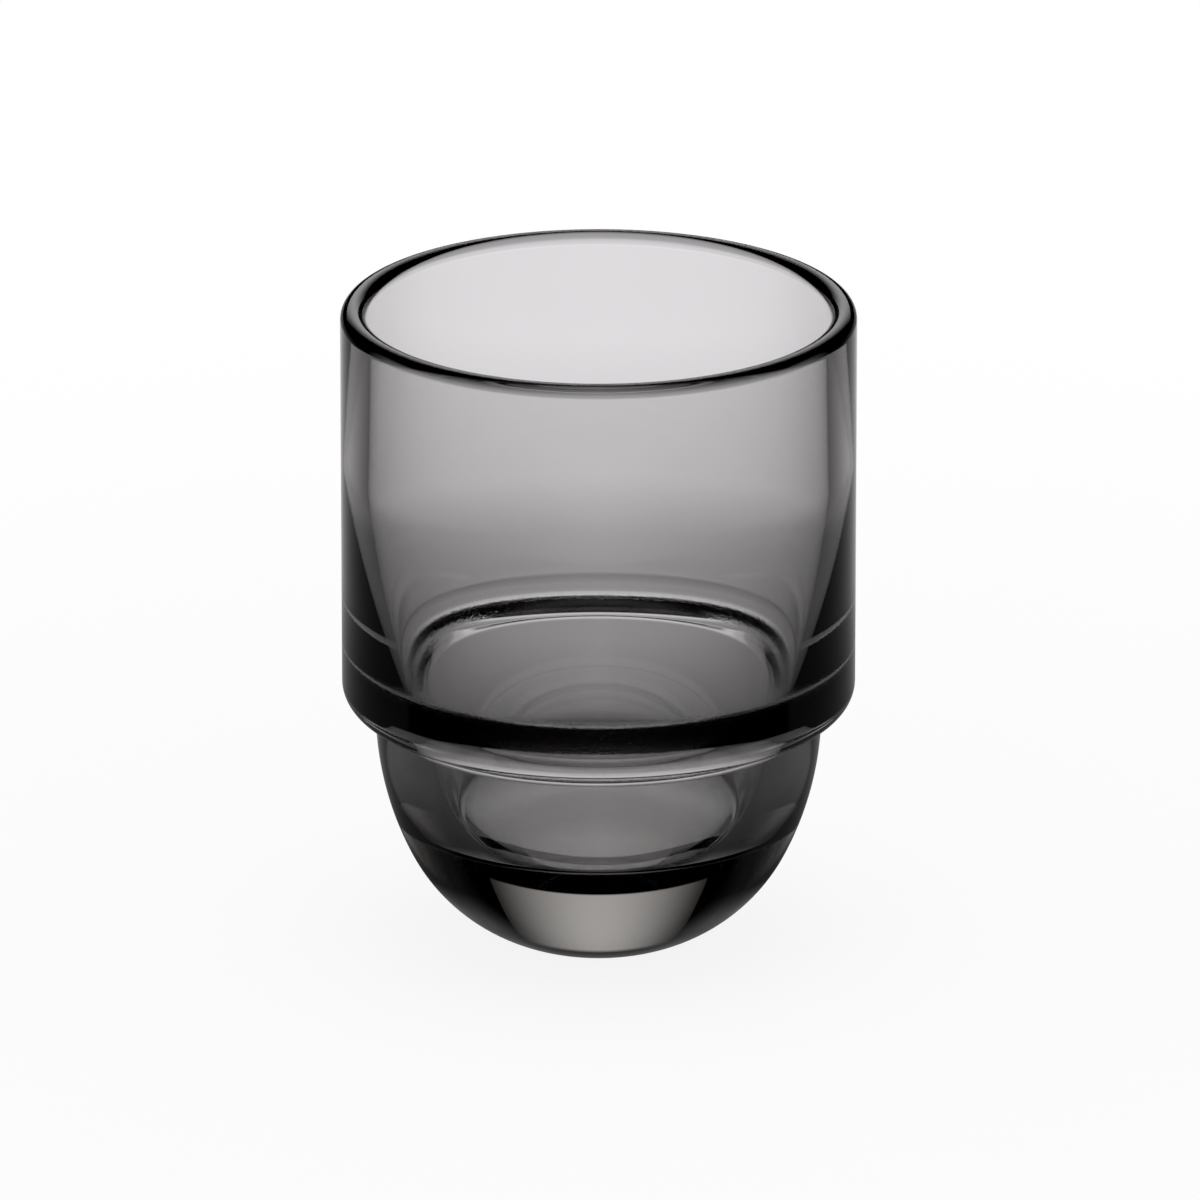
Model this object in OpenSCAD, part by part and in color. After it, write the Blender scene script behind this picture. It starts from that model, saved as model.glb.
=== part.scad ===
// Stacking cortado glass, pressed in one piece.
// A straight bowl with a fully rounded rim stands on a narrower rounded foot.
// The ledge under the bowl rests on the rim of the glass below it in a stack.
// Millimetres. The origin is the middle of the flat base and +Z points up.

/* [Bowl] */
// Outside diameter of the straight wall
glass_d = 66; // [56:0.5:84]
// Height from the table to the crown of the rim
glass_h = 84.8; // [76:0.1:110]
// Wall thickness at the rim, which is rounded over completely
rim_t = 3.35; // [2:0.05:4.5]
// Height at which the straight bore starts to narrow
waist_h = 64; // [54:0.5:70]

/* [Ledge and foot] */
// Height of the corner where the ledge meets the foot
ledge_h = 31; // [28:0.1:35]
// Distance that the ledge stands out over the widest part of the foot
ledge_w = 4.3; // [3:0.1:6]
// Radius that rounds the wall into the ledge
ledge_r = 3.27; // [1.5:0.01:3.8]
// Rise of the ledge's underside towards the outside, in degrees
ledge_slope = 10; // [0:0.5:20]
// Radius of the fillet in the corner between ledge and foot
corner_r = 0.4; // [0.1:0.05:0.8]
// Height at which the foot is widest
foot_widest_h = 30.2; // [26:0.1:31]
// Radius of the foot's side, seen in profile
foot_side_r = 41.1; // [36:0.1:60]
// Height at which the side turns into the tighter curve of the base
foot_bend_h = 11.9; // [8:0.1:15]
// Diameter of the flat base that the glass stands on
base_d = 22; // [16:0.5:28]
// Radius that softens the edge of the flat base
base_edge_r = 0.8; // [0.3:0.1:1.5]

/* [Inside] */
// Wall thickness where the narrowing bore reaches the shelf
shelf_t = 5.75; // [4.8:0.05:6.6]
// Height of the shelf's upper end
shelf_h = 38.5; // [35:0.1:46]
// Lean of the wall where it reaches the shelf, in degrees from upright
shelf_lean = 10; // [4:0.5:16]
// Lean of the shelf itself, in degrees from upright
shelf_slope = 40; // [30:0.5:50]
// Radius that turns the wall into the shelf
shelf_r = 1.5; // [0.5:0.1:5]
// Radius that turns the shelf down into the well, which is the hollow inside the foot
well_lip_r = 3.8; // [0.5:0.1:4.5]
// Wall thickness of the foot at the well's top
foot_t = 5.45; // [4.5:0.05:6]
// Lean of the well's side at its top, in degrees from upright
well_lean = 4; // [1:0.5:12]
// Lean of the well's side where it turns into the floor, in degrees from upright
well_low_lean = 29.5; // [20:0.5:38]
// Distance inwards from the outside of the foot, at its widest, to the foot of the well's side
well_inset = 9.15; // [8:0.05:12]
// Radius that turns the well's side into its floor
floor_corner_r = 1.7; // [0.5:0.1:4]
// Slope of the dished floor where it meets that corner, in degrees
floor_slope = 6; // [3:0.5:25]
// Thickness of the heavy base between the middle of the well and the table
floor_t = 15.4; // [10:0.1:17.5]

/* [Hidden] */
// Radii that follow from the diameters and thicknesses above.
wall_r = glass_d / 2;
rim_r = rim_t / 2;
bore_r = wall_r - rim_t;
foot_r = wall_r - ledge_w;
base_r = base_d / 2;
well_r = foot_r - foot_t;
// Steps on a small rounding, on a long curve, and round the body.
round_steps = 8;
curve_steps = 20;
turn_steps = 120;
// Smoked grey of the pressed glass.
glass_colour = [0.45, 0.45, 0.46, 0.5];

// Points on an arc round a centre, from one angle to another.
function arc(centre, radius, from, to, steps) =
    [for (i = [0 : steps]) let (a = from + (to - from) * i / steps) centre + radius * [cos(a), sin(a)]];

// Points on a smooth curve between two points, which it leaves and reaches in the given directions.
function flow(start, start_dir, end, end_dir) =
    let (pull = norm(end - start) / 3)
    [for (i = [0 : curve_steps]) let (t = i / curve_steps, u = 1 - t)
        u * u * u * start + 3 * u * u * t * (start + pull * start_dir)
        + 3 * u * t * t * (end - pull * end_dir) + t * t * t * end];

// The direction that runs down a wall, leaning in by an angle from upright.
function down(lean) = [-sin(lean), -cos(lean)];

// The direction square to that wall, out of the hollow and into the glass.
function into(lean) = [cos(lean), -sin(lean)];

// The rim's full round joins the bore to the wall.
rim_centre = [wall_r - rim_r, glass_h - rim_r];

// The ledge's rounding starts upright on the wall and ends on its sloping underside.
ledge_end_r = wall_r - ledge_r + ledge_r * sin(ledge_slope);
ledge_rise = (ledge_end_r - foot_r) * tan(ledge_slope);
ledge_centre = [wall_r - ledge_r, ledge_h + ledge_rise + ledge_r * cos(ledge_slope)];

// The fillet under the ledge touches the sloping underside and the foot.
corner_drop = corner_r / cos(ledge_slope) - corner_r * tan(ledge_slope);
corner_centre = [foot_r + corner_r, ledge_h - corner_drop];

// The foot's side is an arc that stands upright where the foot is widest.
side_centre = [foot_r - foot_side_r, foot_widest_h];
bend_lean = asin((foot_widest_h - foot_bend_h) / foot_side_r);
bend_point = side_centre + foot_side_r * [cos(bend_lean), -sin(bend_lean)];
side_top_lean = asin((corner_centre[1] - foot_widest_h) / foot_side_r);

// The base's curve is tangent to the side and would end on the edge of the flat base.
base_chord = [base_r, 0] - bend_point;
bend_inward = [-cos(bend_lean), sin(bend_lean)];
base_curve_r = (base_chord * base_chord) / (2 * (base_chord * bend_inward));
base_centre = bend_point + base_curve_r * bend_inward;

// A small rounding inside that curve rolls it on to the flat base.
edge_reach = base_curve_r - base_edge_r;
edge_centre = [base_centre[0] + sqrt(pow(edge_reach, 2) - pow(base_centre[1] - base_edge_r, 2)), base_edge_r];
edge_lean = atan2(base_centre[1] - edge_centre[1], edge_centre[0] - base_centre[0]);

// The bore narrows from the waist to the shelf, which turns in over the foot and down into the well.
waist_point = [bore_r, waist_h];
shelf_point = [wall_r - shelf_t, shelf_h];
shelf_centre = shelf_point - shelf_r * into(shelf_lean);
shelf_foot = shelf_centre + shelf_r * into(shelf_slope);
lip_width = well_lip_r * (cos(well_lean) - cos(shelf_slope));
lip_run = (shelf_foot[0] - well_r - lip_width) / sin(shelf_slope);
lip_point = shelf_foot + lip_run * down(shelf_slope);
lip_centre = lip_point + well_lip_r * into(shelf_slope);
well_top = lip_centre - well_lip_r * into(well_lean);

// The well's side leans in to a rounded corner, and its floor is dished round the axis.
floor_lean = 90 - floor_slope;
floor_r = foot_r - well_inset - floor_corner_r * (cos(well_low_lean) - cos(floor_lean));
floor_curve_r = floor_r / sin(floor_slope);
floor_edge = [floor_r, floor_t + floor_r * tan(floor_slope / 2)];
floor_corner_centre = floor_edge - floor_corner_r * into(floor_lean);
well_foot = floor_corner_centre + floor_corner_r * into(well_low_lean);

// Half of the section: from the middle of the base up the outside and back down the inside.
outside_line = concat(
    [[0, 0]],
    arc(edge_centre, base_edge_r, -90, -edge_lean, round_steps),
    arc(base_centre, base_curve_r, -edge_lean, -bend_lean, curve_steps),
    arc(side_centre, foot_side_r, -bend_lean, side_top_lean, curve_steps),
    arc(corner_centre, corner_r, 180, 90 + ledge_slope, round_steps),
    arc(ledge_centre, ledge_r, ledge_slope - 90, 0, curve_steps)
);
inside_line = concat(
    arc(rim_centre, rim_r, 0, 180, curve_steps),
    flow(waist_point, down(0), shelf_point, down(shelf_lean)),
    arc(shelf_centre, shelf_r, -shelf_lean, -shelf_slope, round_steps),
    arc(lip_centre, well_lip_r, 180 - shelf_slope, 180 - well_lean, round_steps),
    flow(well_top, down(well_lean), well_foot, down(well_low_lean)),
    arc(floor_corner_centre, floor_corner_r, -well_low_lean, -floor_lean, round_steps),
    arc([0, floor_t + floor_curve_r], floor_curve_r, floor_slope - 90, -90, curve_steps)
);

// The whole glass, turned from its section in one piece.
module glass_body() {
    color(glass_colour)
        rotate_extrude($fn = turn_steps)
            polygon(concat(outside_line, inside_line));
}

glass_body();
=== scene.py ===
import math

import bmesh
import bpy
from bpy.props import FloatProperty, FloatVectorProperty, IntProperty, PointerProperty
from bpy.types import Operator, Panel, PropertyGroup
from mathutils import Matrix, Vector


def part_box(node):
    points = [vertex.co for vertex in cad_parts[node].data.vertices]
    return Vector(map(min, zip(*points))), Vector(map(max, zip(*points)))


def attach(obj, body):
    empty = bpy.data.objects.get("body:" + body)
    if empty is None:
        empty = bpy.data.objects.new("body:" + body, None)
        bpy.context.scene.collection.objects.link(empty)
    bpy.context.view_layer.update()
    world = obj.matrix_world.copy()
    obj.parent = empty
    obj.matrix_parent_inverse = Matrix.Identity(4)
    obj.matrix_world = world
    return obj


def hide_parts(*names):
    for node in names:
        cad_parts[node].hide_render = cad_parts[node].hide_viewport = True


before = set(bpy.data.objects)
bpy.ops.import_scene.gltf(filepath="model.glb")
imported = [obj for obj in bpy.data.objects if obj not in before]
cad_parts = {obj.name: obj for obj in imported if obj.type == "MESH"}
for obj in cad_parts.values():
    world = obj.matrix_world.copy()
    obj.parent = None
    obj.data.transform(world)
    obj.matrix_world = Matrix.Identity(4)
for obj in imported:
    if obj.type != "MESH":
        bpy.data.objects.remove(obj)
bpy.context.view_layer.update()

bl_info = {
    "name": "Pressed cortado glass",
    "version": (1, 0, 0),
    "blender": (4, 5, 0),
    "location": "3D View > Sidebar > Cortado glass",
    "description": "A stacking cortado glass turned from one section, in smoked pressed glass",
    "category": "Object",
}

MM = 0.001
BODY_NODE = "glass_body"
BODY_LOW, BODY_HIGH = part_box(BODY_NODE)

# The glass: how long its waves are, how coarse its grain, and where on the inside the shelf is grained.
WAVE_LENGTH = 18 * MM
GRAIN_SIZE = 0.35 * MM
GRAIN_START = (33.4 * MM, 34.6 * MM)
GRAIN_END = (37.4 * MM, 39.6 * MM)
GRAIN_REACH = 28.3 * MM

# Painted glow of the table, seen only through the glass, by distance from the middle of the glass: painted light
# under the base and further off, painted shade of the glass close round the foot.
FIELD_REACH = 430 * MM
PAINTED_TABLE_GLOW = (
    (0, 0.36), (12 * MM, 0.26), (16.5 * MM, 0.28), (19.5 * MM, 0.42), (27 * MM, 0.07),
    (44 * MM, 0.15), (63 * MM, 0.29), (87 * MM, 0.41), (109 * MM, 0.42), (128 * MM, 0.47),
    (150 * MM, 0.70), (194 * MM, 0.73), (233 * MM, 0.88), (290 * MM, 0.84), (FIELD_REACH, 0.30))
# The soft edge of the painted strip of light: a step close to the glass, what it gains with distance, and how many
# steps it takes.
EDGE_START, EDGE_SPREAD, EDGE_STEPS = 11.6 * MM, 0.08, 3.4
# Distances over which the painted glow sets in or fades: under the foot's front, at the horizon, on the far
# table, on the table in front, and where the shadow on the table ends.
FOOT_FRONT = (-16 * MM, -10 * MM)
HORIZON = (1.2, 2.5)
FAR_TABLE = (200 * MM, 420 * MM)
FRONT_TABLE = (-170 * MM, -300 * MM)
FRONT_SHARE = 0.5
SHADOW_END = (60 * MM, 300 * MM)
# Sideways distance over distance behind, from where something counts as beside the light.
BESIDE_TURN = (1.7, 3.5)
# Sines of the heights over which the light of the room's walls fades, and half of each of the softbox's edges.
ROOM_FADE = (0.30, 0.50)
BOX_LOW_EDGE, BOX_HIGH_EDGE = 0.004, 0.03
BOX_FADE_REACH = 1.15
# The stage.
TABLE_RADIUS, TABLE_GAP = 8.0, 0.02 * MM
LAMP_SIZE, LAMP_HEIGHT = 1.6, 1.5
AIM_HEIGHT = 44.065 * MM
SENSOR_WIDTH = 36
PICTURE_WIDTH = 1200
SHIFT_ACROSS, SHIFT_UP = 1.4, 7.014


def linear(hex_colour):
    """An sRGB colour written as six hex digits, as the linear values that Blender's sockets take."""
    parts = [int(hex_colour[i:i + 2], 16) / 255 for i in (0, 2, 4)]
    return tuple(p / 12.92 if p <= 0.04045 else ((p + 0.055) / 1.055) ** 2.4 for p in parts)


def length(name, description, default_mm, low_mm=0.0, high_mm=200.0):
    """A length that the sidebar shows in the scene's unit."""
    return FloatProperty(name=name, description=description, default=default_mm * MM, min=low_mm * MM,
                         max=high_mm * MM, subtype="DISTANCE", unit="LENGTH", precision=4)


def lean(name, description, default_deg, high_deg=80.0):
    """An angle from upright."""
    return FloatProperty(name=name, description=description, default=math.radians(default_deg), min=0.0,
                         max=math.radians(high_deg), subtype="ANGLE", unit="ROTATION")


class GlassSizes(PropertyGroup):
    """The section's sizes, which are those of the CAD source."""

    glass_d: length("Diameter", "Outside diameter of the straight wall", (BODY_HIGH[0] - BODY_LOW[0]) / MM)
    glass_h: length("Height", "From the table to the crown of the rim", (BODY_HIGH[2] - BODY_LOW[2]) / MM)
    rim_t: length("Rim", "Wall thickness at the rim, which is rounded over completely", 3.35)
    waist_h: length("Waist height", "Height at which the straight bore starts to narrow", 64)
    ledge_h: length("Ledge height", "Height of the corner where the ledge meets the foot", 31)
    ledge_w: length("Ledge width", "How far the ledge stands out over the widest part of the foot", 4.3)
    ledge_r: length("Ledge rounding", "Radius that rounds the wall into the ledge", 3.27)
    ledge_slope: lean("Ledge slope", "Rise of the ledge's underside towards the outside", 10)
    corner_r: length("Corner fillet", "Radius of the fillet in the corner between ledge and foot", 0.4)
    foot_widest_h: length("Foot's widest height", "Height at which the foot is widest", 30.2)
    foot_side_r: length("Foot side radius", "Radius of the foot's side, seen in profile", 41.1)
    foot_bend_h: length("Foot bend height", "Height at which the side turns into the curve of the base", 11.9)
    base_d: length("Base diameter", "Diameter of the flat base", 22)
    base_edge_r: length("Base edge", "Radius that softens the edge of the flat base", 0.8)
    shelf_t: length("Shelf thickness", "Wall thickness where the narrowing bore reaches the shelf", 5.75)
    shelf_h: length("Shelf height", "Height of the shelf's upper end", 38.5)
    shelf_lean: lean("Wall lean at the shelf", "Lean of the wall where it reaches the shelf", 10)
    shelf_slope: lean("Shelf lean", "Lean of the shelf itself", 40)
    shelf_r: length("Shelf rounding", "Radius that turns the wall into the shelf", 1.5)
    well_lip_r: length("Well lip", "Radius that turns the shelf down into the well", 3.8)
    foot_t: length("Foot thickness", "Wall thickness of the foot at the well's top", 5.45)
    well_lean: lean("Well lean", "Lean of the well's side at its top", 4)
    well_low_lean: lean("Well's low lean", "Lean of the well's side where it turns into the floor", 29.5)
    well_inset: length("Well inset", "From the outside of the foot in to the foot of the well's side", 9.15)
    floor_corner_r: length("Floor corner", "Radius that turns the well's side into its floor", 1.7)
    floor_slope: lean("Floor slope", "Slope of the dished floor where it meets its corner", 6)
    floor_t: length("Base thickness", "Glass between the middle of the well and the table", 15.4)
    turn_steps: IntProperty(name="Steps round the body", description="Facets round the glass, shaded smooth",
                            default=256, min=24, max=512)


class GlassFinish(PropertyGroup):
    """What the smoked glass does to light."""

    ior: FloatProperty(name="IOR", description="Refraction of soda-lime glass",
                       default=1.52, min=1.0, max=2.0)
    roughness: FloatProperty(name="Roughness", description="Fire-polished glass is almost perfectly smooth",
                             default=0.0, min=0.0, max=1.0)
    smoke_density: FloatProperty(name="Smoke density", description="Light soaked up per metre of glass",
                                 default=28, min=0.0, max=500.0)
    smoke_colour: FloatVectorProperty(name="Smoke colour", description="Tint that the smoke lets through",
                                      default=linear("4A3714"), min=0.0, max=1.0, size=3, subtype="COLOR")
    wave_height: length("Wave height", "Height of the slow waves that pressing leaves in the walls", 0.012,
                        high_mm=1)
    grain_height: length("Grain height", "Height of the grain on the shelf", 0.08, high_mm=1)


class LitTable(PropertyGroup):
    """The table, the softbox, the lamp and the camera."""

    camera_distance: FloatProperty(name="Camera distance", description="From the lens to the middle of the glass",
                                   default=1.941, min=0.2, max=10.0, subtype="DISTANCE", unit="LENGTH")
    camera_elevation: lean("Camera elevation", "Height of the camera above the horizon", 19.485, high_deg=90)
    focal_length: FloatProperty(name="Lens", description="Focal length", default=453.4, min=20, max=1200,
                                subtype="DISTANCE_CAMERA", unit="CAMERA")
    lamp_power: FloatProperty(name="Lamp power", description="Power of the soft lamp over the table",
                              default=10.0, min=0.0, max=500.0, subtype="POWER", unit="POWER")
    fill_level: FloatProperty(name="Fill", description="Soft light of the room on the table",
                              default=0.5, min=0.0, max=2.0)
    whiteness: FloatProperty(name="Whiteness", description="How much of the table's shadow is drowned",
                             default=0.88, min=0.0, max=1.0, subtype="FACTOR")
    # The strip and the side and front levels set the table's painted glow, which only the glass sees; the room
    # level sets that glow beside and in front as well as the light of the room's walls.
    strip_start: length("Strip", "Half width of the bright strip under the glass", 9.7)
    strip_spread: FloatProperty(name="Strip's spread", description="How much it widens for each metre behind",
                                default=0.45, min=0.0, max=2.0)
    side_level: FloatProperty(name="Side level", description="Brightness beside the strip",
                              default=0.05, min=0.0, max=2.0)
    front_level: FloatProperty(name="Front level", description="Brightness in front of the glass",
                               default=0.03, min=0.0, max=2.0)
    room_level: FloatProperty(name="Room", description="Brightness of the room and table beside and in front",
                              default=0.8, min=0.0, max=2.0)
    box_level: FloatProperty(name="Softbox", description="Brightness of the middle of the softbox",
                             default=1.3, min=0.0, max=20.0)
    above_level: FloatProperty(name="Above the softbox", description="Share of its light over its upper edge",
                               default=0.04, min=0.0, max=1.0, subtype="FACTOR")
    box_half_turn: lean("Softbox width", "From its middle to its edge, as seen from the glass", 25.5)
    box_low: lean("Softbox bottom", "Height of its lower edge over the horizon", 11.6)
    box_high: lean("Softbox top", "Height of its upper edge over the horizon", 44)


# ---------------------------------------------------------------- shape


def polar(radius, angle):
    return Vector((radius * math.cos(angle), radius * math.sin(angle)))


def arc(centre, radius, start, end, steps):
    """Points on an arc round a centre, from one angle to another."""
    return [centre + polar(radius, start + (end - start) * i / steps) for i in range(steps + 1)]


def flow(start, start_dir, end, end_dir, steps):
    """Points on a smooth curve between two points, which it leaves and reaches in the given directions."""
    pull = (end - start).length / 3
    a, b = start + pull * start_dir, end - pull * end_dir
    ts = [i / steps for i in range(steps + 1)]
    return [(1 - t) ** 3 * start + 3 * (1 - t) ** 2 * t * a + 3 * (1 - t) * t * t * b + t ** 3 * end
            for t in ts]


def down(angle):
    """The direction that runs down a wall, leaning in by an angle from upright."""
    return Vector((-math.sin(angle), -math.cos(angle)))


def into(angle):
    """The direction square to that wall, out of the hollow and into the glass."""
    return Vector((math.cos(angle), -math.sin(angle)))


def outside_line(g):
    """From the middle of the base up the outside to where the rim's round begins."""
    wall, foot = g.glass_d / 2, g.glass_d / 2 - g.ledge_w
    quarter = math.pi / 2
    # The ledge: a rounding that starts upright on the wall and ends on the sloping underside.
    reach = wall - g.ledge_r + g.ledge_r * math.sin(g.ledge_slope)
    rise = (reach - foot) * math.tan(g.ledge_slope)
    ledge = Vector((wall - g.ledge_r, g.ledge_h + rise + g.ledge_r * math.cos(g.ledge_slope)))
    drop = g.corner_r / math.cos(g.ledge_slope) - g.corner_r * math.tan(g.ledge_slope)
    corner = Vector((foot + g.corner_r, g.ledge_h - drop))
    # The foot: an upright arc, then a tighter one that is tangent to it and rolls on to the flat base.
    side = Vector((foot - g.foot_side_r, g.foot_widest_h))
    bend = math.asin((g.foot_widest_h - g.foot_bend_h) / g.foot_side_r)
    bend_point = side + polar(g.foot_side_r, -bend)
    side_top = math.asin((corner[1] - g.foot_widest_h) / g.foot_side_r)
    chord = Vector((g.base_d / 2, 0)) - bend_point
    inward = Vector((-math.cos(bend), math.sin(bend)))
    base_r = chord.dot(chord) / (2 * chord.dot(inward))
    base = bend_point + base_r * inward
    edge_run = math.sqrt((base_r - g.base_edge_r) ** 2 - (base[1] - g.base_edge_r) ** 2)
    edge = Vector((base[0] + edge_run, g.base_edge_r))
    edge_lean = math.atan2(base[1] - edge[1], edge[0] - base[0])
    middle = [Vector((edge[0] * share, 0)) for share in (0, 0.3, 0.6, 0.85, 0.985)]
    return (middle
            + arc(edge, g.base_edge_r, -quarter, -edge_lean, 8)
            + arc(base, base_r, -edge_lean, -bend, 24)
            + arc(side, g.foot_side_r, -bend, side_top, 24)
            + arc(corner, g.corner_r, math.pi, quarter + g.ledge_slope, 8)
            + arc(ledge, g.ledge_r, g.ledge_slope - quarter, 0, 24))


def inside_line(g):
    """Over the rim, down the bore and the shelf, and down the well to the middle of its dished floor."""
    wall = g.glass_d / 2
    quarter = math.pi / 2
    rim = g.rim_t / 2
    waist = Vector((wall - g.rim_t, g.waist_h))
    # The shelf turns in over the foot and rolls over the lip, down into the well.
    shelf_point = Vector((wall - g.shelf_t, g.shelf_h))
    shelf = shelf_point - g.shelf_r * into(g.shelf_lean)
    shelf_foot = shelf + g.shelf_r * into(g.shelf_slope)
    lip_width = g.well_lip_r * (math.cos(g.well_lean) - math.cos(g.shelf_slope))
    run = (shelf_foot[0] - (wall - g.ledge_w - g.foot_t) - lip_width) / math.sin(g.shelf_slope)
    lip = shelf_foot + run * down(g.shelf_slope) + g.well_lip_r * into(g.shelf_slope)
    well_top = lip - g.well_lip_r * into(g.well_lean)
    # The well leans in to a rounded corner, and its floor is dished round the axis.
    steep = quarter - g.floor_slope
    low = wall - g.ledge_w - g.well_inset - g.floor_corner_r * (math.cos(g.well_low_lean) - math.cos(steep))
    corner = Vector((low, g.floor_t + low * math.tan(g.floor_slope / 2))) - g.floor_corner_r * into(steep)
    well_foot = corner + g.floor_corner_r * into(g.well_low_lean)
    dish = low / math.sin(g.floor_slope)
    return (arc(Vector((wall - rim, g.glass_h - rim)), rim, 0, math.pi, 32)
            + flow(waist, down(0), shelf_point, down(g.shelf_lean), 28)
            + arc(shelf, g.shelf_r, -g.shelf_lean, -g.shelf_slope, 8)
            + arc(lip, g.well_lip_r, math.pi - g.shelf_slope, math.pi - g.well_lean, 10)
            + flow(well_top, down(g.well_lean), well_foot, down(g.well_low_lean), 24)
            + arc(corner, g.floor_corner_r, -g.well_low_lean, -steep, 10)
            + arc(Vector((0, g.floor_t + dish)), dish, -steep, -quarter, 24))


def turned(name, line, steps):
    """A closed body turned round +Z from half of its section, which starts and ends on the axis."""
    points = [line[0]]
    for point in line[1:]:
        if (point - points[-1]).length > 1e-6:
            points.append(point)
    bm = bmesh.new()
    verts = [bm.verts.new((p[0], 0, p[1])) for p in points]
    edges = [bm.edges.new(pair) for pair in zip(verts, verts[1:])]
    bmesh.ops.spin(bm, geom=verts + edges, cent=(0, 0, 0), axis=(0, 0, 1), dvec=(0, 0, 0),
                   angle=math.tau, steps=steps, use_merge=True, use_duplicate=False)
    bmesh.ops.remove_doubles(bm, verts=bm.verts, dist=1e-7)
    bmesh.ops.recalc_face_normals(bm, faces=bm.faces)
    for face in bm.faces:
        face.smooth = True
    mesh = bpy.data.meshes.new(name)
    bm.to_mesh(mesh)
    bm.free()
    body = bpy.data.objects.new(name, mesh)
    bpy.context.scene.collection.objects.link(body)
    return body


# ---------------------------------------------------------------- materials


def add_node(tree, kind, inputs=None, **attributes):
    """Adds a node, sets its attributes, and fills its sockets with numbers or with other nodes' outputs."""
    node = tree.nodes.new(kind)
    for name, value in attributes.items():
        setattr(node, name, value)
    for socket, value in (inputs or {}).items():
        if isinstance(value, bpy.types.NodeSocket):
            tree.links.new(value, node.inputs[socket])
        else:
            node.inputs[socket].default_value = value
    return node


def new_material(name):
    material = bpy.data.materials.new(name)
    material.use_nodes = True
    material.node_tree.nodes.clear()
    return material, material.node_tree


def pressed_smoked_glass(finish):
    """Smoked soda-lime glass, pressed between a plunger and a polished mould, then fire-polished.

    It gives the eye a clear grey that deepens with every millimetre of glass and black edges where
    light is bent away. Pressing leaves a slow waviness in the walls, and a fine grain on the shelf,
    where the plunger's shoulder chilled the glass and the flame didn't reach.
    """
    material, tree = new_material("pressed_smoked_soda_lime_glass")
    place = add_node(tree, "ShaderNodeTexCoord").outputs["Object"]
    # Waves a few thousandths of a millimetre high.
    waves = add_node(tree, "ShaderNodeTexNoise", {"Vector": place, "Scale": 1 / WAVE_LENGTH, "Detail": 1.0})
    wavy = add_node(tree, "ShaderNodeBump", {
        "Height": waves.outputs[0], "Strength": 1.0, "Distance": finish.wave_height})
    # Grain on the shelf only: between two heights, inside the wall.
    height = add_node(tree, "ShaderNodeSeparateXYZ", {0: place}).outputs[2]
    over = add_node(tree, "ShaderNodeMapRange", {0: height, 1: GRAIN_START[0], 2: GRAIN_START[1]},
                    interpolation_type="SMOOTHSTEP")
    under = add_node(tree, "ShaderNodeMapRange", {0: height, 1: GRAIN_END[1], 2: GRAIN_END[0]},
                     interpolation_type="SMOOTHSTEP")
    flat = add_node(tree, "ShaderNodeVectorMath", {0: place, 1: (1, 1, 0)}, operation="MULTIPLY").outputs[0]
    from_axis = add_node(tree, "ShaderNodeVectorMath", {0: flat}, operation="LENGTH").outputs["Value"]
    inner = add_node(tree, "ShaderNodeMath", {0: from_axis, 1: GRAIN_REACH}, operation="LESS_THAN").outputs[0]
    band = add_node(tree, "ShaderNodeMath", {0: over.outputs[0], 1: under.outputs[0]}, operation="MULTIPLY")
    shelf = add_node(tree, "ShaderNodeMath", {0: band.outputs[0], 1: inner}, operation="MULTIPLY")
    grain = add_node(tree, "ShaderNodeTexNoise", {"Vector": place, "Scale": 1 / GRAIN_SIZE, "Detail": 2.0})
    grainy = add_node(tree, "ShaderNodeBump", {
        "Height": grain.outputs[0], "Strength": shelf.outputs[0],
        "Distance": finish.grain_height, "Normal": wavy.outputs[0]})
    glass = add_node(tree, "ShaderNodeBsdfPrincipled", {
        "Base Color": (1, 1, 1, 1), "Roughness": finish.roughness, "IOR": finish.ior,
        "Transmission Weight": 1.0, "Normal": grainy.outputs[0]})
    smoke = add_node(tree, "ShaderNodeVolumeAbsorption", {
        "Color": (*finish.smoke_colour, 1), "Density": finish.smoke_density})
    add_node(tree, "ShaderNodeOutputMaterial", {"Surface": glass.outputs[0], "Volume": smoke.outputs[0]})
    return material


def turn_from_light(tree, across, along):
    """How far a direction turns away from +Y, where the light is: sideways distance over distance behind."""
    across = add_node(tree, "ShaderNodeMath", {0: across}, operation="ABSOLUTE")
    along = add_node(tree, "ShaderNodeMath", {0: along, 1: 0.001}, operation="MAXIMUM")
    return add_node(tree, "ShaderNodeMath", {0: across.outputs[0], 1: along.outputs[0]},
                    operation="DIVIDE").outputs[0]


def beside_the_light(tree, turn):
    """1 for what lies beside or in front of the glass and 0 for what lies behind it."""
    return add_node(tree, "ShaderNodeMapRange", {0: turn, 1: BESIDE_TURN[0], 2: BESIDE_TURN[1]}).outputs[0]


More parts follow.
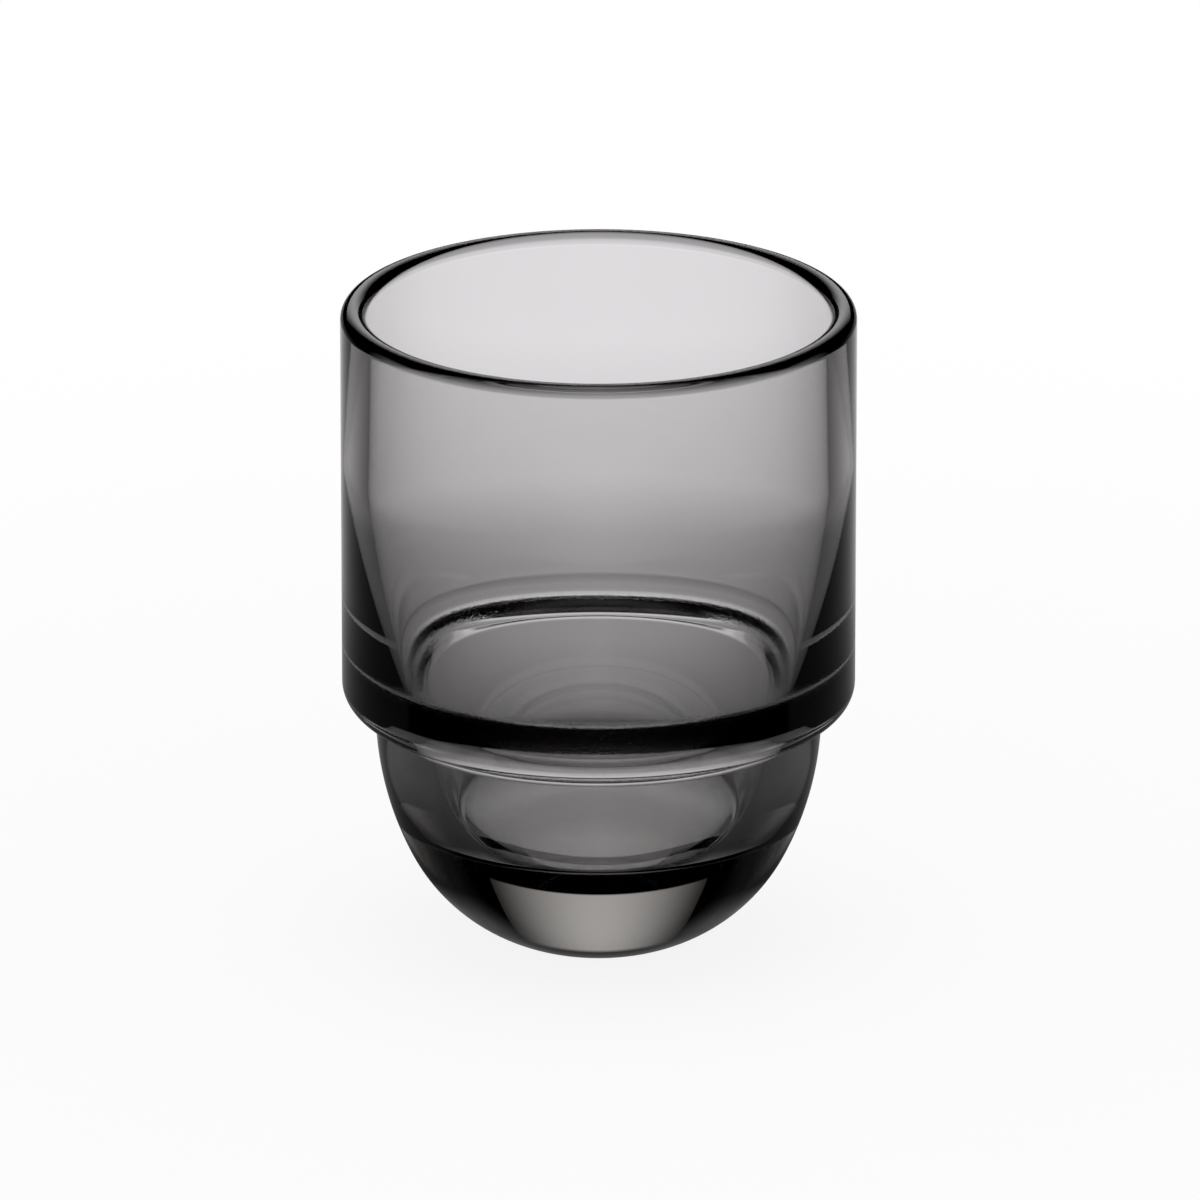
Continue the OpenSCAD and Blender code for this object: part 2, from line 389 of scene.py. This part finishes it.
def painted_glow_table_material(studio):
    """A white table that glows with painted light in a strip behind the glass, where only the glass sees it.

    To the eye it is plain white with the glass's soft shadow on it. Through the glass it is a painted bright strip
    that falls off to the sides and has painted shade close round the glass, which leaves the glass's edges dark.
    """
    material, tree = new_material("white_table_with_painted_glow")
    place = add_node(tree, "ShaderNodeTexCoord").outputs["Object"]
    split = add_node(tree, "ShaderNodeSeparateXYZ", {0: place})
    away = add_node(tree, "ShaderNodeVectorMath", {0: place}, operation="LENGTH").outputs["Value"]
    # Painted glow by distance from the middle of the glass, with painted shade close round it.
    share = add_node(tree, "ShaderNodeMapRange", {0: away, 1: 0.0, 2: FIELD_REACH})
    rings = add_node(tree, "ShaderNodeValToRGB", {0: share.outputs[0]})
    stops = rings.color_ramp.elements
    stops[0].position, stops[1].position = 0.0, 1.0
    for distance, level in PAINTED_TABLE_GLOW:
        if distance == 0:
            stop = stops[0]
        elif distance == FIELD_REACH:
            stop = stops[-1]
        else:
            stop = stops.new(distance / FIELD_REACH)
        stop.color = (level, level, level, 1)
    # The painted strip of light widens with the distance, and so does its soft edge.
    sideways = add_node(tree, "ShaderNodeMath", {0: split.outputs[0]}, operation="ABSOLUTE").outputs[0]
    half = add_node(tree, "ShaderNodeMath", {0: away, 1: studio.strip_spread, 2: studio.strip_start},
                    operation="MULTIPLY_ADD")
    edge = add_node(tree, "ShaderNodeMath", {0: away, 1: EDGE_SPREAD, 2: EDGE_START}, operation="MULTIPLY_ADD")
    outside = add_node(tree, "ShaderNodeMath", {0: sideways, 1: half.outputs[0]}, operation="SUBTRACT")
    outside = add_node(tree, "ShaderNodeMath", {0: outside.outputs[0], 1: edge.outputs[0]}, operation="DIVIDE")
    strip = add_node(tree, "ShaderNodeMapRange", {
        0: outside.outputs[0], 1: -EDGE_STEPS, 2: EDGE_STEPS, 3: 1.0, 4: studio.side_level},
        interpolation_type="SMOOTHSTEP")
    behind = add_node(tree, "ShaderNodeMapRange", {
        0: split.outputs[1], 1: FOOT_FRONT[0], 2: FOOT_FRONT[1], 3: studio.front_level, 4: 1.0})
    horizon = add_node(tree, "ShaderNodeMapRange", {0: away, 1: HORIZON[0], 2: HORIZON[1], 3: 1.0, 4: 0.0},
                       interpolation_type="SMOOTHSTEP")
    field = rings.outputs[0]
    for part in (strip, behind, horizon):
        field = add_node(tree, "ShaderNodeMath", {0: field, 1: part.outputs[0]}, operation="MULTIPLY").outputs[0]
    # Further off, beside and in front, the table gets a painted glow too: from there it fills the glass.
    beside = beside_the_light(tree, turn_from_light(tree, split.outputs[0], split.outputs[1]))
    far = add_node(tree, "ShaderNodeMapRange", {0: away, 1: FAR_TABLE[0], 2: FAR_TABLE[1]},
                   interpolation_type="SMOOTHSTEP")
    far = add_node(tree, "ShaderNodeMath", {0: far.outputs[0], 1: beside}, operation="MULTIPLY")
    front = add_node(tree, "ShaderNodeMapRange", {
        0: split.outputs[1], 1: FRONT_TABLE[0], 2: FRONT_TABLE[1], 3: 0.0, 4: FRONT_SHARE},
        interpolation_type="SMOOTHSTEP")
    rest = add_node(tree, "ShaderNodeMath", {0: far.outputs[0], 1: front.outputs[0]}, operation="MAXIMUM")
    for part in (horizon.outputs[0], studio.room_level):
        rest = add_node(tree, "ShaderNodeMath", {0: rest.outputs[0], 1: part}, operation="MULTIPLY")
    field = add_node(tree, "ShaderNodeMath", {0: field, 1: rest.outputs[0]}, operation="MAXIMUM").outputs[0]
    glow = add_node(tree, "ShaderNodeEmission", {"Color": (*linear("FFFCFF"), 1), "Strength": field})
    # What the eye sees: white, with the soft shadow close to the glass.
    paint = add_node(tree, "ShaderNodeBsdfDiffuse", {"Color": (*linear("F4F4F4"), 1)})
    white = add_node(tree, "ShaderNodeEmission", {"Color": (1, 1, 1, 1), "Strength": 1.0})
    whiter = add_node(tree, "ShaderNodeMapRange", {
        0: away, 1: SHADOW_END[0], 2: SHADOW_END[1], 3: studio.whiteness, 4: 1.0},
        interpolation_type="SMOOTHSTEP")
    plain = add_node(tree, "ShaderNodeMixShader", {0: whiter.outputs[0], 1: paint.outputs[0], 2: white.outputs[0]})
    # Glossy and transmission rays see the painted glow; camera and diffuse rays see the plain white table.
    path = add_node(tree, "ShaderNodeLightPath")
    through = add_node(tree, "ShaderNodeMath", {
        0: path.outputs["Is Glossy Ray"], 1: path.outputs["Is Transmission Ray"]}, operation="MAXIMUM")
    both = add_node(tree, "ShaderNodeMixShader", {0: through.outputs[0], 1: plain.outputs[0], 2: glow.outputs[0]})
    add_node(tree, "ShaderNodeOutputMaterial", {"Surface": both.outputs[0]})
    return material


def studio_world(studio):
    """White behind the table to the eye and a soft fill on it. In the glass, a studio with one softbox.

    The softbox stands behind the glass, brightest in the middle, and its lower edge is well above
    the table: the dark gap between the two draws the black bands in the foot. Beside and in front
    of the glass the studio's walls are lit, which shows only from the sides and the back.
    """
    world = bpy.data.worlds.new("studio_with_softbox")
    world.use_nodes = True
    tree = world.node_tree
    tree.nodes.clear()
    towards = add_node(tree, "ShaderNodeTexCoord").outputs["Generated"]
    split = add_node(tree, "ShaderNodeSeparateXYZ", {0: towards})
    turn = turn_from_light(tree, split.outputs[0], split.outputs[1])
    box_turn = math.tan(studio.box_half_turn)
    fade = add_node(tree, "ShaderNodeMapRange", {0: turn, 1: 0.0, 2: box_turn * BOX_FADE_REACH, 3: 1.0, 4: 0.0},
                    interpolation_type="SMOOTHSTEP")
    width = add_node(tree, "ShaderNodeMath", {0: turn, 1: box_turn}, operation="LESS_THAN")
    low, high = math.sin(studio.box_low), math.sin(studio.box_high)
    bottom = add_node(tree, "ShaderNodeMapRange", {
        0: split.outputs[2], 1: low - BOX_LOW_EDGE, 2: low + BOX_LOW_EDGE})
    top = add_node(tree, "ShaderNodeMapRange", {
        0: split.outputs[2], 1: high - BOX_HIGH_EDGE, 2: high + BOX_HIGH_EDGE, 3: 1.0, 4: studio.above_level})
    box = studio.box_level
    for part in (fade, width, bottom, top):
        box = add_node(tree, "ShaderNodeMath", {0: box, 1: part.outputs[0]}, operation="MULTIPLY").outputs[0]
    in_front = add_node(tree, "ShaderNodeMath", {0: split.outputs[1], 1: 0.0}, operation="LESS_THAN")
    beside = add_node(tree, "ShaderNodeMath", {0: beside_the_light(tree, turn), 1: in_front.outputs[0]},
                      operation="MAXIMUM")
    low_wall = add_node(tree, "ShaderNodeMapRange", {
        0: split.outputs[2], 1: ROOM_FADE[0], 2: ROOM_FADE[1], 3: studio.room_level, 4: 0.0},
        interpolation_type="SMOOTHSTEP")
    walls = add_node(tree, "ShaderNodeMath", {0: beside.outputs[0], 1: low_wall.outputs[0]}, operation="MULTIPLY")
    light = add_node(tree, "ShaderNodeMath", {0: box, 1: walls.outputs[0]}, operation="MAXIMUM").outputs[0]
    lit = add_node(tree, "ShaderNodeBackground", {"Color": (1, 1, 1, 1), "Strength": light})
    seen = add_node(tree, "ShaderNodeBackground", {"Color": (1, 1, 1, 1), "Strength": 1.0})
    fill = add_node(tree, "ShaderNodeBackground", {"Color": (1, 1, 1, 1), "Strength": studio.fill_level})
    path = add_node(tree, "ShaderNodeLightPath")
    unseen = add_node(tree, "ShaderNodeMixShader", {
        0: path.outputs["Is Diffuse Ray"], 1: lit.outputs[0], 2: fill.outputs[0]})
    room = add_node(tree, "ShaderNodeMixShader", {
        0: path.outputs["Is Camera Ray"], 1: unseen.outputs[0], 2: seen.outputs[0]})
    add_node(tree, "ShaderNodeOutputWorld", {"Surface": room.outputs[0]})
    return world


# ---------------------------------------------------------------- operators


class CORTADO_OT_press_glass(Operator):
    """Turn the glass from its section and give it its smoked glass."""

    bl_idname = "cortado.press_glass"
    bl_label = "Press the glass"

    def execute(self, context):
        sizes, finish = context.scene.cortado_sizes, context.scene.cortado_finish
        body = turned("pressed_body", outside_line(sizes) + inside_line(sizes), sizes.turn_steps)
        body.data.materials.append(pressed_smoked_glass(finish))
        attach(body, "root")
        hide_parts(BODY_NODE)
        return {"FINISHED"}


class CORTADO_OT_light_table(Operator):
    """Set the glass on a lit white table with a soft lamp and the photograph's camera."""

    bl_idname = "cortado.light_table"
    bl_label = "Light the table"

    def execute(self, context):
        scene, studio = context.scene, context.scene.cortado_table
        bm = bmesh.new()
        bmesh.ops.create_circle(bm, cap_ends=True, segments=96, radius=TABLE_RADIUS)
        bmesh.ops.translate(bm, verts=bm.verts, vec=(0, 0, -TABLE_GAP))
        mesh = bpy.data.meshes.new("table")
        bm.to_mesh(mesh)
        bm.free()
        mesh.materials.append(painted_glow_table_material(studio))
        table = bpy.data.objects.new("table", mesh)
        scene.collection.objects.link(table)
        scene.world = studio_world(studio)

        lamp_data = bpy.data.lights.new("soft_lamp", "AREA")
        lamp_data.shape, lamp_data.size, lamp_data.energy = "DISK", LAMP_SIZE, studio.lamp_power
        lamp = bpy.data.objects.new("soft_lamp", lamp_data)
        scene.collection.objects.link(lamp)
        lamp.location = (0, 0, LAMP_HEIGHT)
        lamp.visible_camera = lamp.visible_glossy = lamp.visible_transmission = False

        camera_data = bpy.data.cameras.new("camera")
        camera = bpy.data.objects.new("camera", camera_data)
        scene.collection.objects.link(camera)
        tilt, distance = studio.camera_elevation, studio.camera_distance
        camera.location = (0, -distance * math.cos(tilt), AIM_HEIGHT + distance * math.sin(tilt))
        camera.rotation_euler = (math.pi / 2 - tilt, 0, 0)
        camera_data.lens, camera_data.sensor_width = studio.focal_length, SENSOR_WIDTH
        camera_data.shift_x, camera_data.shift_y = SHIFT_ACROSS / PICTURE_WIDTH, SHIFT_UP / PICTURE_WIDTH
        camera_data.clip_start, camera_data.clip_end = 0.1, 50
        scene.camera = camera
        scene.view_settings.view_transform = "Standard"
        return {"FINISHED"}


class VIEW3D_PT_cortado(Panel):
    """Sizes and buttons for the glass."""

    bl_label = "Cortado glass"
    bl_idname = "VIEW3D_PT_cortado"
    bl_space_type = "VIEW_3D"
    bl_region_type = "UI"
    bl_category = "Cortado glass"

    def draw(self, context):
        layout = self.layout
        scene = context.scene
        for label, group, button in (("Sizes", scene.cortado_sizes, CORTADO_OT_press_glass.bl_idname),
                                     ("Glass", scene.cortado_finish, CORTADO_OT_press_glass.bl_idname),
                                     ("Table", scene.cortado_table, CORTADO_OT_light_table.bl_idname)):
            box = layout.box()
            box.label(text=label)
            for name in group.__annotations__:
                box.prop(group, name)
            box.operator(button)


CLASSES = (GlassSizes, GlassFinish, LitTable,
           CORTADO_OT_press_glass, CORTADO_OT_light_table, VIEW3D_PT_cortado)


def register():
    for cls in CLASSES:
        bpy.utils.register_class(cls)
    bpy.types.Scene.cortado_sizes = PointerProperty(type=GlassSizes)
    bpy.types.Scene.cortado_finish = PointerProperty(type=GlassFinish)
    bpy.types.Scene.cortado_table = PointerProperty(type=LitTable)


def unregister():
    del bpy.types.Scene.cortado_table
    del bpy.types.Scene.cortado_finish
    del bpy.types.Scene.cortado_sizes
    for cls in reversed(CLASSES):
        bpy.utils.unregister_class(cls)


def main():
    register()
    bpy.ops.cortado.press_glass()
    bpy.ops.cortado.light_table()


if __name__ == "__main__":
    main()
